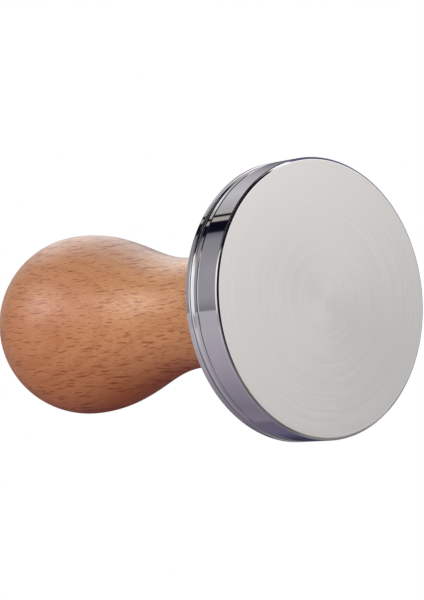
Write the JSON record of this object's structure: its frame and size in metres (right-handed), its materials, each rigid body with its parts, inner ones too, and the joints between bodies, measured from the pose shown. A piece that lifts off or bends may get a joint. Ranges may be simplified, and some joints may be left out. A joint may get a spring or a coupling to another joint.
{
  "type": "espresso tamper",
  "caption": "Hand tamper for ground coffee: turned wooden knob handle screwed on a round polished steel foot with a flat tamping face.",
  "frame": {"origin": "centre of the flat tamping face", "axes": "+Z along the tamper's axis, from the tamping face towards the knob"},
  "size_m": [0.058, 0.058, 0.098],
  "materials": {
    "foot_steel": "polished rim, finely turned satin face",
    "stud_steel": "plain",
    "washer_fibre": "matte",
    "insert_brass": "turned",
    "beech": "satin lacquer"
  },
  "bodies": {
    "foot": {"base": "foot_steel", "stud": "stud_steel"},
    "washer": {"washer": "washer_fibre"},
    "handle": {"handle": "beech", "threaded_insert": "insert_brass"}
  },
  "joints": [
    {"name": "handle_rise", "type": "slide", "parent": "foot", "child": "washer", "axis": [0, 0, 1], "range_m": [0, 0.01505]},
    {"name": "handle_unscrew", "type": "hinge", "parent": "washer", "child": "handle", "pos_m": [0, 0, 0.03], "axis": [0, 0, 1], "range_deg": [0, 4320]}
  ],
  "couplings": [
    {"joint": "handle_rise", "follows": "handle_unscrew", "m_per_rad": 0.00019894}
  ]
}
